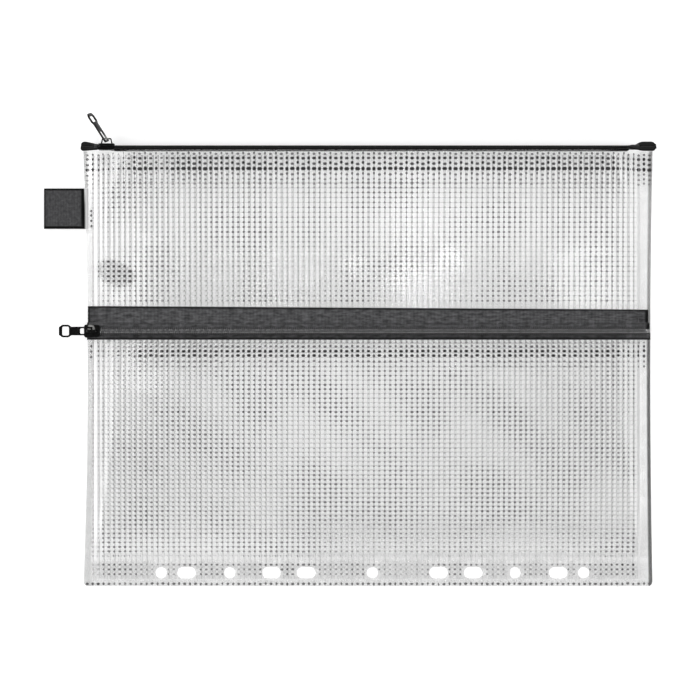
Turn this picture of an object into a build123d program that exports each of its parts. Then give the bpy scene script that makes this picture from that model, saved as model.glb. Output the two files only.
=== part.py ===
"""Document wallet of clear netted film with two compartments, coil zippers, a ribbon tab and a filing strip.

Frame: the wallet lies on its back. X runs along the zippers, Y up the front, Z out of the front face.
The origin is in the middle of the back face. All lengths are in millimetres, angles in degrees.
"""

import os
from math import sqrt

from build123d import *

# Film outline, back face on Z = 0
film_height = 247.2
film_width_ends = 323.4
left_pinch = 2.5
right_pinch = 1.3
corner_radius = 3.0
film_thickness = 0.4

# Welds and hems
strip_height = 15.4
side_weld = 7.7
pocket_weld_less = 1.2
top_hem = 12.0
pocket_hem = 9.0
hem_end_inset = 5.2

# Fullness of the main compartment
main_gap = 4.6
mouth_depth = 14.4
side_run = 28.0
side_crest = 14.8
bottom_run = 70.0
mouth_run = 62.0

# Fullness of the pocket
pocket_gap = 4.8
pocket_run = 100.0
pocket_side_run = 26.0
pocket_side_crest = 13.6

# Filing holes, measured from the middle hole: round ones, then slots
hole_row_offset = 2.5
hole_rise = 7.8
hole_diameter = 6.2
slot_length = 10.4
round_offsets = (0, 81.0, 120.0)
slot_offsets = (37.6, 57.3, 105.6)

# Zipper chain, alike on both zippers
tape_thickness = 0.5
tape_inner_edge = 0.95
tape_flat_half = 4.4
tape_step_run = 0.6
tape_lap_end = 7.0
coil_height = 1.5
coil_half_width = 2.15
coil_spine = 0.9
tooth_reach = 0.45
tooth_pitch = 2.4
cord_radius = 0.32

# Sliders, alike on both zippers
slider_length = 9.0
slider_nose_width = 7.6
slider_tail_width = 6.6
slider_corner = 1.4
plate_thickness = 0.7
play = 0.12
film_clearance = 0.15
flange_thickness = 0.65
post_nose = 4.2
post_wide = 3.2
post_tail = 0.7
post_half_width = 0.8
chain_start = 0.4
bridge_half_length = 3.4
bridge_lean = 0.9
bridge_height = 3.25
bridge_thickness = 0.8
bridge_width = 1.5
bridge_round = 0.7

# Pulls, alike on both zippers, measured from the bar that the bridge holds
pull_thickness = 0.9
pull_root_half_width = 2.45
pull_waist_half_width = 2.45
pull_waist_end = 11.6
pull_head_start = 13.2
pull_head_half_width = 3.6
pull_head_end = 16.6
pull_tip = 18.6
pull_tip_half_width = 2.2
pull_corner = 0.7
root_eye_end = 6.6
root_eye_width = 3.1
head_eye_start = 12.9
head_eye_end = 16.7
head_eye_width = 5.0
eye_corner = 0.8

# Top zipper: chain straight along X between the two lips, end folds turned a little to the front.
# Insets and overhangs are measured from the film's ends.
top_slider_inset = 13.9
top_chain_end_inset = 13.7
top_turn_inset = 8.3
top_left_overhang = 0.7
top_right_overhang = 1.3
end_turn_angle = 38.0
end_fold_steps = 4
top_pull_angle = 122.5
top_pull_twist = -22.0
top_pull_lift = 1.44

# Pocket zipper: upper tape on the front panel, lower tape turned forward to the pocket's hem.
# Its chain lies at a share of the film's height.
pocket_chain_share = 0.586569579
pocket_slider_inset = 5.7
pocket_chain_end_inset = 4.2
pocket_tape_left_inset = 2.7
pocket_tape_right_inset = 1.9
upper_tape_top = 14.7
wall_cover = 0.2
pocket_pull_angle = 182.0
pocket_pull_lift = 1.0

# Ribbon tab: its seam in from the film's left end, its corners down from the film's top edge
tab_seam_inset = 2.8
tab_top_length = 25.2
tab_bottom_length = 23.4
tab_fold_drop = 21.2
tab_seam_drop = 22.6
tab_bottom_drop = 44.1
ribbon_thickness = 0.5
ribbon_gap = 0.2
ribbon_seam = 1.6
tab_notch_side = 0.4
tab_notch_depth = 1.5

# Heights and places that follow from the sizes above
top_edge = film_height / 2
bottom_edge = -film_height / 2
strip_edge = bottom_edge + strip_height
half_width = film_width_ends / 2
blister_half = half_width - side_weld
pocket_half = blister_half + pocket_weld_less
front_base = film_thickness
pocket_base = 2 * film_thickness
stack_top = 3 * film_thickness
plateau = 2 * film_thickness + main_gap
pocket_top = plateau + pocket_gap + film_thickness
tape_rise = film_clearance + plate_thickness + play
coil_floor = tape_thickness
coil_top = tape_thickness + coil_height
plate_floor = coil_top + play
plate_top = plate_floor + plate_thickness
chain_depth = mouth_depth / 2
top_slider_x = -half_width + top_slider_inset
top_chain_end = half_width - top_chain_end_inset
top_left_turn = -half_width + top_turn_inset
top_left_end = -half_width - top_left_overhang
top_right_end = half_width + top_right_overhang
pocket_chain_y = bottom_edge + pocket_chain_share * film_height
pocket_slider_x = -half_width + pocket_slider_inset
pocket_chain_end = half_width - pocket_chain_end_inset
pocket_tape_left = -half_width + pocket_tape_left_inset
pocket_tape_right = half_width - pocket_tape_right_inset
wall_outer = tape_flat_half + tape_thickness
pocket_edge = pocket_chain_y - wall_outer
pull_bar_radius = pull_thickness / 2
tab_seam_x = -half_width + tab_seam_inset
tab_top_left = (tab_seam_x - tab_top_length, top_edge - tab_fold_drop)
tab_top_right = (tab_seam_x, top_edge - tab_seam_drop)
tab_bottom_right = (tab_seam_x, top_edge - tab_bottom_drop)
tab_bottom_left = (tab_seam_x - tab_bottom_length, top_edge - tab_bottom_drop)
notch_x = tab_seam_x + tab_notch_depth


def block(x0, x1, y0, y1, z0, z1):
    """A box between two corners."""
    middle = ((x0 + x1) / 2, (y0 + y1) / 2, (z0 + z1) / 2)
    return Pos(*middle) * Box(x1 - x0, y1 - y0, z1 - z0)


def along_x(face, x0, x1):
    """Extrude a face drawn in (Y, Z) from x0 to x1."""
    return extrude(Plane.YZ.offset(x0) * face, amount=x1 - x0)


def along_y(face, y0, y1):
    """Extrude a face drawn in (X, Z) from y0 to y1."""
    return extrude(Plane.XZ.offset(-y1) * face, amount=y1 - y0)


def closed_face(points):
    """A face inside a ring of straight edges."""
    return make_face(Polyline(*points, close=True))


def rise_arc(foot, base, crest, run, inset):
    """Foot, middle and top of an arc from a weld at foot to a level crest, moved in by inset."""
    toward = 1 if run > 0 else -1
    rise = crest - base
    radius = (run**2 + rise**2) / (2 * rise)
    centre = (foot + run, crest - radius)
    inner = radius - inset
    start = (centre[0] - toward * sqrt(inner**2 - (base - centre[1]) ** 2), base)
    top = (centre[0], centre[1] + inner)
    chord = ((start[0] + top[0]) / 2 - centre[0], (start[1] + top[1]) / 2 - centre[1])
    stretch = inner / sqrt(chord[0] ** 2 + chord[1] ** 2)
    middle = (centre[0] + chord[0] * stretch, centre[1] + chord[1] * stretch)
    return start, middle, top


def side_face(half, base, crest, run, inset, floor):
    """Cross-section of a compartment in (X, Z): level crest, an arc down to the weld on each side."""
    left = rise_arc(-half, base, crest, run, inset)
    right = rise_arc(half, base, crest, -run, inset)
    outline = [
        Line((left[0][0], floor), (right[0][0], floor)),
        ThreePointArc(*right),
        Line(right[2], left[2]),
        ThreePointArc(*reversed(left)),
    ]
    if floor < base:
        outline.insert(1, Line((right[0][0], floor), right[0]))
        outline.append(Line(left[0], (left[0][0], floor)))
    return make_face(Curve(children=outline).edges())


def main_long_face(inset, floor):
    """Long section of the main compartment in (Y, Z): up from the strip, level, then up to the mouth."""
    foot = rise_arc(strip_edge, front_base, plateau, bottom_run, inset)
    lift = mouth_depth - plateau
    radius = (mouth_run**2 + lift**2) / (2 * lift)
    start_y = top_edge - mouth_run
    centre = (start_y, plateau + radius)
    outer = radius + inset
    level = centre[1] - outer
    half_run = mouth_run / 2
    half_point = (start_y + half_run, centre[1] - sqrt(outer**2 - half_run**2))
    mouth_point = (top_edge, centre[1] - sqrt(outer**2 - mouth_run**2))
    outline = [
        Line((foot[0][0], floor), (top_edge, floor)),
        Line((top_edge, floor), mouth_point),
        ThreePointArc(mouth_point, half_point, (start_y, level)),
        Line((start_y, level), foot[2]),
        ThreePointArc(*reversed(foot)),
    ]
    if floor < front_base:
        outline.append(Line(foot[0], (foot[0][0], floor)))
    return make_face(Curve(children=outline).edges())


def pocket_long_face(inset, floor):
    """Long section of the pocket in (Y, Z): up from the strip, then level to the pocket's mouth."""
    foot = rise_arc(strip_edge, pocket_base, pocket_top, pocket_run, inset)
    outline = [
        Line((foot[0][0], floor), (pocket_edge, floor)),
        Line((pocket_edge, floor), (pocket_edge, foot[2][1])),
        Line((pocket_edge, foot[2][1]), foot[2]),
        ThreePointArc(*reversed(foot)),
    ]
    if floor < pocket_base:
        outline.append(Line(foot[0], (foot[0][0], floor)))
    return make_face(Curve(children=outline).edges())


def main_body(inset, floor):
    """The main compartment as a solid, moved in by inset: 0 is the film's outer face."""
    face = side_face(blister_half, front_base, side_crest, side_run, inset, floor)
    long_body = along_x(main_long_face(inset, floor), -half_width, half_width)
    return along_y(face, bottom_edge, top_edge) & long_body


def pocket_sides(inset, floor):
    """The pocket's side profile run along the whole height."""
    face = side_face(pocket_half, pocket_base, pocket_side_crest, pocket_side_run, inset, floor)
    return along_y(face, bottom_edge, top_edge)


def pocket_body(inset, floor):
    """The pocket as a solid, moved in by inset: 0 is the film's outer face."""
    return pocket_sides(inset, floor) & along_x(pocket_long_face(inset, floor), -half_width, half_width)


def film_sheet(z0, z1, upper):
    """A flat sheet with the wallet's outline, from the bottom edge up to the height upper."""
    corners = {
        "bl": (-half_width, bottom_edge),
        "br": (half_width, bottom_edge),
        "tr": (half_width, top_edge),
        "tl": (-half_width, top_edge),
    }
    ring = [
        Line(corners["bl"], corners["br"]),
        ThreePointArc(corners["br"], (half_width - right_pinch, 0), corners["tr"]),
        Line(corners["tr"], corners["tl"]),
        ThreePointArc(corners["tl"], (-half_width + left_pinch, 0), corners["bl"]),
    ]
    sheet = extrude(Pos(0, 0, z0) * make_face(Curve(children=ring).edges()), amount=z1 - z0)
    low = sheet.edges().filter_by(Axis.Z).group_by(Axis.Y)[0]
    sheet = fillet(low, corner_radius)
    return sheet & block(-film_width_ends, film_width_ends, bottom_edge, upper, z0, z1)


def filing_cutters():
    """One cutter for every hole and slot of the filing strip."""
    row_y = bottom_edge + hole_rise
    drill = 4 * stack_top
    cutters = []
    for offset in round_offsets:
        for x in sorted({hole_row_offset - offset, hole_row_offset + offset}):
            cutters.append(Pos(x, row_y, 0) * Cylinder(hole_diameter / 2, drill))
    for offset in slot_offsets:
        for x in (hole_row_offset - offset, hole_row_offset + offset):
            slot = Pos(x, row_y, -drill / 2) * SlotOverall(slot_length, hole_diameter)
            cutters.append(extrude(slot, amount=drill))
    return cutters


def punched(sheet):
    """The sheet with the filing holes through it."""
    for cutter in filing_cutters():
        sheet = sheet - cutter
    return sheet


def make_back_panel():
    """Flat rear film: a doubled hem at the top and an edge turned up under the rear tape."""
    panel = punched(film_sheet(0, film_thickness, top_edge))
    hem_half = blister_half - hem_end_inset
    hem = block(-hem_half, hem_half, top_edge - top_hem, top_edge, film_thickness, 2 * film_thickness)
    lip_top = chain_depth - tape_flat_half - tape_step_run
    lip = block(-hem_half, hem_half, top_edge - film_thickness, top_edge, film_thickness, lip_top)
    return panel + hem + lip


def make_front_panel():
    """Bowed front film: flat weld margins, a doubled hem, an edge turned under the tape, the tab's notch."""
    below = front_base - film_thickness
    outer = main_body(0, front_base)
    hem_start = top_edge - top_hem
    low_part = block(-half_width, half_width, bottom_edge, hem_start, below, 2 * side_crest)
    inner = (main_body(film_thickness, below) & low_part) + main_body(2 * film_thickness, below)
    panel = film_sheet(front_base, pocket_base, top_edge) + outer - inner
    lap = tape_lap_end - tape_flat_half - tape_step_run + wall_cover
    rim_y = top_edge - film_thickness
    rim = outer & block(-half_width, half_width, rim_y, top_edge, front_base, 2 * side_crest)
    mouth_face = side_face(blister_half, front_base, side_crest, side_run, lap, below)
    rim = rim - along_y(mouth_face, rim_y, top_edge)
    upper_rim = block(-half_width, half_width, rim_y, top_edge, mouth_depth - lap, 2 * side_crest)
    rim = rim + (outer & upper_rim)
    notch_low = tab_bottom_right[1] - tab_notch_side
    notch_high = tab_top_left[1] + tab_notch_side
    notch = block(-film_width_ends, notch_x, notch_low, notch_high, 0, stack_top)
    return punched(panel + rim - notch)


def make_pocket_panel():
    """Bowed pocket film: flat weld margins, a doubled hem, an edge turned back on the lower tape's wall."""
    below = pocket_base - film_thickness
    outer = pocket_body(0, pocket_base)
    hem_start = pocket_edge - pocket_hem
    low_part = block(-half_width, half_width, bottom_edge, hem_start, below, 2 * side_crest)
    inner = (pocket_body(film_thickness, below) & low_part) + pocket_body(2 * film_thickness, below)
    panel = film_sheet(pocket_base, stack_top, pocket_edge) + outer - inner
    lap = pocket_gap / 2
    rim_y = pocket_edge - film_thickness
    rim = outer & block(-half_width, half_width, rim_y, pocket_edge, pocket_top - lap, 2 * side_crest)
    return punched(panel + rim)


def make_ribbon_tab():
    """Ribbon folded into a flat loop, its two ends sewn together at the seam."""
    ring = (tab_top_left, tab_top_right, tab_bottom_right, tab_bottom_left)
    thick = 2 * ribbon_thickness + ribbon_gap
    tab = extrude(Pos(0, 0, film_thickness) * closed_face(ring), amount=thick)
    fold_edges = tab.edges().filter_by(GeomType.LINE).sort_by(Axis.X)[:4]
    fold_edges = [e for e in fold_edges if abs(e.tangent_at(0).Z) < abs(e.tangent_at(0).Y)]
    tab = fillet(fold_edges, ribbon_thickness)
    slot_ring = (
        (tab_top_left[0] + ribbon_thickness, 2 * tab_top_left[1]),
        (tab_top_right[0] - ribbon_seam, 2 * tab_top_left[1]),
        (tab_top_right[0] - ribbon_seam, 0),
        (tab_bottom_left[0] + ribbon_thickness, 0),
    )
    slot = extrude(Pos(0, 0, film_thickness + ribbon_thickness) * closed_face(slot_ring), amount=ribbon_gap)
    return tab - slot


# Zippers have a frame of their own: X along the chain, Y across it, Z out of its face, Z = 0 under the tape
top_frame = Location((0, top_edge + tape_rise, chain_depth), (-90, 0, 0))
pocket_frame = Location((0, pocket_chain_y, plateau + tape_rise), (0, 0, 0))


def coil_row(side, x0, x1):
    """One row of coil as a comb: a spine on the tape, loops that reach in between the other row's."""
    spine_edge = coil_half_width - coil_spine
    half_pitch = tooth_pitch / 2
    x = x0 if side > 0 else x0 + half_pitch
    ring = [(x1, side * coil_half_width), (x0, side * coil_half_width), (x0, side * spine_edge)]
    if x > x0:
        ring.append((x, side * spine_edge))
    while x + tooth_pitch < x1:
        ring += [(x + half_pitch, -side * tooth_reach), (x + tooth_pitch, side * spine_edge)]
        x += tooth_pitch
    ring.append((x1, side * spine_edge))
    row = extrude(Pos(0, 0, coil_floor) * closed_face(ring), amount=coil_height)
    return row - filler_cord(side, x0, x1)


def filler_cord(side, x0, x1):
    """The cord that the coil is wound round, in the middle of the spine."""
    across = side * (coil_half_width - coil_spine / 2)
    middle = ((x0 + x1) / 2, across, coil_floor + coil_height / 2)
    return Location(middle, (0, 90, 0)) * Cylinder(cord_radius, x1 - x0)


def plate_outline():
    """Outline of a slider plate, wide at the nose on -X and narrower at the tail."""
    half = slider_length / 2
    nose = slider_nose_width / 2
    tail = slider_tail_width / 2
    face = closed_face(((-half, -nose), (half, -tail), (half, tail), (-half, nose)))
    return fillet(face.vertices(), slider_corner)


def slider_body():
    """Two plates held apart by the dividing post at the nose, flanges down to the tape, the pull's bridge."""
    outline = plate_outline()
    lower = extrude(Pos(0, 0, -play - plate_thickness) * outline, amount=plate_thickness)
    upper = extrude(Pos(0, 0, plate_floor) * outline, amount=plate_thickness)
    post_ring = (
        (-post_nose, 0),
        (-post_wide, -post_half_width),
        (-post_tail, 0),
        (-post_wide, post_half_width),
    )
    post = extrude(Pos(0, 0, -play) * closed_face(post_ring), amount=plate_floor + play)
    skirt_floor = tape_thickness + play
    skirt = extrude(Pos(0, 0, skirt_floor) * outline, amount=plate_floor - skirt_floor)
    half = slider_length / 2
    nose = slider_nose_width / 2 - flange_thickness
    tail = slider_tail_width / 2 - flange_thickness
    channel_ring = ((-half, -nose), (half, -tail), (half, tail), (-half, nose))
    channel = extrude(Pos(0, 0, skirt_floor) * closed_face(channel_ring), amount=plate_floor - skirt_floor)
    return lower + upper + post + (skirt - channel) + slider_bridge()


def slider_bridge():
    """The arch along the slider's top that the pull hangs from."""
    top_half = bridge_half_length - bridge_lean
    outer_ring = (
        (-bridge_half_length, 0),
        (-top_half, bridge_height),
        (top_half, bridge_height),
        (bridge_half_length, 0),
    )
    outer = closed_face(outer_ring)
    outer = fillet(outer.vertices().group_by(Axis.Y)[-1], bridge_round)
    inner_half = bridge_half_length - bridge_thickness
    inner_top = top_half - bridge_thickness / 2
    opening = bridge_height - bridge_thickness
    inner = closed_face(((-inner_half, 0), (-inner_top, opening), (inner_top, opening), (inner_half, 0)))
    arch = along_y(outer - inner, -bridge_width / 2, bridge_width / 2)
    return Pos(0, 0, plate_top) * arch


def pull_tab():
    """Waisted pull with an eye at each end, its round bar on the origin and its tip along +X."""
    half = [
        (0, pull_root_half_width),
        (pull_waist_end, pull_waist_half_width),
        (pull_head_start, pull_head_half_width),
        (pull_head_end, pull_head_half_width),
        (pull_tip, pull_tip_half_width),
    ]
    ring = half + [(x, -y) for x, y in reversed(half)]
    face = closed_face(ring)
    face = fillet(face.vertices().sort_by(Axis.X)[2:], pull_corner)
    root_length = root_eye_end - pull_bar_radius
    head_length = head_eye_end - head_eye_start
    root_eye = RectangleRounded(root_length, root_eye_width, eye_corner)
    head_eye = RectangleRounded(head_length, head_eye_width, eye_corner)
    face = face - Pos(pull_bar_radius + root_length / 2, 0) * root_eye
    face = face - Pos(head_eye_start + head_length / 2, 0) * head_eye
    plate = extrude(Pos(0, 0, -pull_bar_radius) * face, amount=pull_thickness)
    return plate + Rotation(90, 0, 0) * Cylinder(pull_bar_radius, 2 * pull_root_half_width)


def hung_pull(slider_x, lift, angle, twist):
    """The pull on its slider: pointing at the angle up from +X, turned about its own length by the twist."""
    return Location((slider_x, 0, plate_top + lift), (0, -angle, 0)) * Rotation(twist, 0, 0) * pull_tab()


def tape_strip(side, x0, x1):
    """The level part of a tape, under its coil and through the slider."""
    edges = sorted((side * tape_inner_edge, side * tape_flat_half))
    return block(x0, x1, edges[0], edges[1], 0, tape_thickness)


def tape_lap(side, x0, x1, lap_end):
    """The part of a tape that steps down beside the slider and lies on the film."""
    step_end = tape_flat_half + tape_step_run
    down = -tape_rise
    ring = (
        (side * tape_flat_half, 0),
        (side * step_end, down),
        (side * lap_end, down),
        (side * lap_end, down + tape_thickness),
        (side * (step_end + tape_step_run / 2), down + tape_thickness),
        (side * (tape_flat_half + tape_step_run / 2), tape_thickness),
        (side * tape_flat_half, tape_thickness),
    )
    return along_x(closed_face(ring), x0, x1)


def end_fold(side, x0, x1):
    """The end of a tape, turned about the chain step by step to show its face to the front."""
    low, high = sorted((side * tape_inner_edge, side * tape_flat_half))
    rectangle = closed_face(((low, 0), (high, 0), (high, tape_thickness), (low, tape_thickness)))
    sections = []
    for step in range(end_fold_steps + 1):
        share = step / end_fold_steps
        turned = Rotation(0, 0, end_turn_angle * share) * rectangle
        sections.append(Plane.YZ.offset(x0 + (x1 - x0) * share) * turned)
    return loft(sections, ruled=True)


def make_top_tape(side):
    """One tape of the top zipper: strip, lap on the film's turned edge and an end fold at each end."""
    strip = tape_strip(side, top_left_turn, top_chain_end)
    folds = end_fold(side, top_left_turn, top_left_end) + end_fold(side, top_chain_end, top_right_end)
    lap_half = blister_half - hem_end_inset
    lap = tape_lap(side, -lap_half, top_chain_end, tape_lap_end)
    placed = top_frame * lap
    if side < 0:
        room = side_face(blister_half, front_base, side_crest, side_run, wall_cover, front_base)
        placed = placed & along_y(room, top_edge - tape_rise, top_edge + 2 * tape_rise)
    return top_frame * (strip + folds) + placed


def make_upper_tape():
    """Upper tape of the pocket zipper: strip, step, and a band along the front film into both side seams."""
    strip = tape_strip(1, pocket_tape_left, pocket_tape_right)
    level_half = blister_half - main_gap - film_thickness
    step = tape_lap(1, -level_half, level_half, tape_lap_end)
    low = pocket_chain_y + tape_flat_half + tape_step_run
    high = pocket_chain_y + upper_tape_top
    arch = side_face(blister_half, front_base, side_crest, side_run, -tape_thickness, front_base)
    band = along_y(arch, low, high)
    band = band & block(-half_width, half_width, low, high, front_base, plateau + tape_thickness)
    ends_top = pocket_base + tape_thickness
    band = band + block(pocket_tape_left, pocket_tape_right, low, high, pocket_base, ends_top)
    film = main_body(0, front_base) + film_sheet(front_base, pocket_base, top_edge)
    return pocket_frame * (strip + step) + (band - film)


def make_lower_tape():
    """Lower tape of the pocket zipper: strip, then a wall turned forward along the pocket's hem."""
    strip = tape_strip(-1, pocket_tape_left, pocket_tape_right)
    floor = plateau + tape_rise
    wall_top = pocket_top - wall_cover
    wall = block(-half_width, half_width, pocket_edge, pocket_edge + tape_thickness, floor, wall_top)
    wall = wall & pocket_sides(wall_cover, pocket_base)
    return pocket_frame * strip + wall


def make_parts():
    """Every piece by name, in place."""
    parts = {
        "back_panel": make_back_panel(),
        "front_panel": make_front_panel(),
        "pocket_panel": make_pocket_panel(),
        "ribbon_tab": make_ribbon_tab(),
        "top_rear_tape": make_top_tape(1),
        "top_front_tape": make_top_tape(-1),
        "pocket_upper_tape": make_upper_tape(),
        "pocket_lower_tape": make_lower_tape(),
    }
    chains = (
        ("top", top_frame, top_slider_x, top_chain_end, ("rear", "front")),
        ("pocket", pocket_frame, pocket_slider_x, pocket_chain_end, ("upper", "lower")),
    )
    for name, frame, slider_x, chain_end, rows in chains:
        start = slider_x - chain_start
        for side, row in zip((1, -1), rows):
            parts[f"{name}_{row}_coil"] = frame * coil_row(side, start, chain_end)
            parts[f"{name}_{row}_cord"] = frame * filler_cord(side, start, chain_end)
        parts[f"{name}_slider"] = frame * Pos(slider_x, 0, 0) * slider_body()
    top_pull = hung_pull(top_slider_x, top_pull_lift, top_pull_angle, top_pull_twist)
    pocket_pull = hung_pull(pocket_slider_x, pocket_pull_lift, pocket_pull_angle, 0)
    parts["top_pull"] = top_frame * top_pull
    parts["pocket_pull"] = pocket_frame * pocket_pull
    return parts


os.makedirs("parts", exist_ok=True)
for node, shape in make_parts().items():
    shape.label = node
    export_step(shape, f"parts/{node}.step")
    box = shape.bounding_box()
    print(f"{node}: {len(shape.solids())} solid, volume {shape.volume:.0f}, {box.min} to {box.max}")
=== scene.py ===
import math

import bmesh
import bpy
import numpy as np
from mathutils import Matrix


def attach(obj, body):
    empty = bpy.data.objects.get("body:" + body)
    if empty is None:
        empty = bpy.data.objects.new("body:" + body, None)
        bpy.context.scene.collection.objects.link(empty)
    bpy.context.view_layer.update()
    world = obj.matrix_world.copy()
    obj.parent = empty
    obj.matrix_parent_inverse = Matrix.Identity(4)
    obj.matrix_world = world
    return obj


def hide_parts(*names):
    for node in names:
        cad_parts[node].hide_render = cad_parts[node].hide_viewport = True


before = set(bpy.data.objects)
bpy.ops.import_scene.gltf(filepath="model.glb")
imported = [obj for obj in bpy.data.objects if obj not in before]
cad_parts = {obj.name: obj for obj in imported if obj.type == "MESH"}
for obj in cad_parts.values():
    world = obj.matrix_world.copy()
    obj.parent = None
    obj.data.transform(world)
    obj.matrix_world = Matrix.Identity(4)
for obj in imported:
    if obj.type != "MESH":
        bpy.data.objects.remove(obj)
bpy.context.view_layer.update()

rng = np.random.default_rng(41)

# Measures that the part's source holds or works out, in millimetres
MM = 0.001
HALF, TOP, STRIP_EDGE, CORNER = 161.7, 123.6, -108.2, 3.0
FILM, TAPE = 0.4, 0.5
BLISTER, FRONT_ARC = 154.0, (28, 14.4)
POCKET_HALF, POCKET_ARC = 155.2, (26, 12.8)
FRONT_RUN, FRONT_RISE, POCKET_RUN, POCKET_RISE = 70, 5.0, 100, 9.8
MOUTH_START, MOUTH_RADIUS = 61.6, 218.06
POCKET_TOP, POCKET_EDGE = 10.6, 16.5
HOLE_Y, HOLE_RADIUS, HOLE_MID = -115.8, 3.1, 2.5
ROUND_OFFSETS, SLOT_OFFSETS, SLOT_HALF = (0, 81.0, 120.0), (37.6, 57.3, 105.6), 5.2
OPENINGS = sorted({(HOLE_MID + s * o, HOLE_RADIUS) for o in ROUND_OFFSETS for s in (-1, 1)}
                  | {(HOLE_MID + s * o, SLOT_HALF) for o in SLOT_OFFSETS for s in (-1, 1)})
NOTCH_X, NOTCH_LOW, NOTCH_HIGH = -158.2, 79.1, 102.8
TAB_ROOT, TAB_LOW, TAB_WIDE, TAB_MIDDLE = -158.9, 79.5, 22.9, 1.0
TOP_CHAIN_Y, TOP_CHAIN_Z = 124.57, 7.2
POCKET_CHAIN_Y, POCKET_CHAIN_Z = 21.4, 6.37
TAPE_GAP, TAPE_BEND, COIL_HALF_HEIGHT = 0.95, 4.4, 0.75

# Measures of what only this script makes, in millimetres
PARTING = 0.03
TAB_FOLD = -183.43
NET_PITCH, NET_LEFT, NET_RIGHT = 3.07, -156.34, 156.0
LEVEL_LEFT, LEVEL_RIGHT, PANEL_FOOT, NET_FOOT = -151.0, 152.6, -110.0, -119.4
STRIP_ROWS = (-111.2, -113.9, -116.6)
HEM_DEPTH, HEM_FILM = 0.42, FILM - 0.06


# Camera and light, in metres

CAMERA, MIRROR_HEIGHT = (-0.0102, 0.0107, 1.492), 2.27


def set_camera():
    """Long lens straight above the wallet: the picture's 700 pixels span 396.6 mm at the film."""
    lens = bpy.data.cameras.new("camera")
    lens.lens, lens.sensor_width = 135.0, 36.0
    camera = bpy.data.objects.new("camera", lens)
    camera.location = CAMERA
    bpy.context.collection.objects.link(camera)
    bpy.context.scene.camera = camera


def area_light(name, place, turn, width, height, radiance):
    """A rectangular light that the camera doesn't see, equally bright whatever its size."""
    light = bpy.data.lights.new(name, "AREA")
    light.shape, light.size, light.size_y = "RECTANGLE", width, height
    light.energy = math.pi * width * height * radiance
    lamp = bpy.data.objects.new(name, light)
    lamp.location, lamp.rotation_euler = place, turn
    lamp.visible_camera = False
    bpy.context.collection.objects.link(lamp)


def softbox(name, azimuth, tilt, distance, width, height, radiance):
    """A studio light aimed at the wallet, placed by azimuth from +X and tilt from straight up, in
    degrees."""
    a, t = math.radians(azimuth), math.radians(tilt)
    out = distance * math.sin(t)
    place = (out * math.cos(a), out * math.sin(a), distance * math.cos(t))
    area_light(name, place, (t, 0, a + math.pi / 2), width, height, radiance)


def mirror_light(name, x0, x1, y0, y1, radiance):
    """A small lamp overhead, placed so that a flat film shows it to the camera between these places in
    mm."""
    reach = (MIRROR_HEIGHT + CAMERA[2]) / CAMERA[2]
    low = [c + (v * MM - c) * reach for c, v in zip(CAMERA, (x0, y0))]
    high = [c + (v * MM - c) * reach for c, v in zip(CAMERA, (x1, y1))]
    place = ((low[0] + high[0]) / 2, (low[1] + high[1]) / 2, MIRROR_HEIGHT)
    area_light(name, place, (0, 0, 0), high[0] - low[0], high[1] - low[1], radiance)


# Materials

# Length in metres of one band of a wave texture at scale 1
BAND = 0.314


def colour(code):
    """An sRGB hex code as linear red, green, blue and alpha."""
    c = np.array([int(code[i:i + 2], 16) for i in (1, 3, 5)]) / 255
    c = np.where(c <= 0.04045, c / 12.92, ((c + 0.055) / 1.055) ** 2.4)
    return (*(float(v) for v in c), 1.0)


def add(tree, kind, sockets=None, stops=(), **settings):
    """Adds one node; sockets gives each named input a value, or the node or output that feeds it, and stops
    gives a colour ramp its (place, hex code) pairs."""
    made = tree.nodes.new("ShaderNode" + kind)
    for key, value in settings.items():
        setattr(made, key, value)
    for key, value in (sockets or {}).items():
        if isinstance(value, bpy.types.Node):
            value = value.outputs[0]
        if isinstance(value, bpy.types.NodeSocket):
            tree.links.new(value, made.inputs[key])
        else:
            made.inputs[key].default_value = value
    for _ in stops[2:]:
        made.color_ramp.elements.new(0.5)
    for i, (place, code) in enumerate(stops):
        point = made.color_ramp.elements[i]
        point.position, point.color = place, colour(code)
    return made


def new_material(name, coordinates):
    """An empty node material, its tree and the coordinates that its patterns follow."""
    material = bpy.data.materials.new(name)
    material.use_nodes = True
    tree = material.node_tree
    tree.nodes.clear()
    return material, tree, add(tree, "TexCoord").outputs[coordinates]


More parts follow.
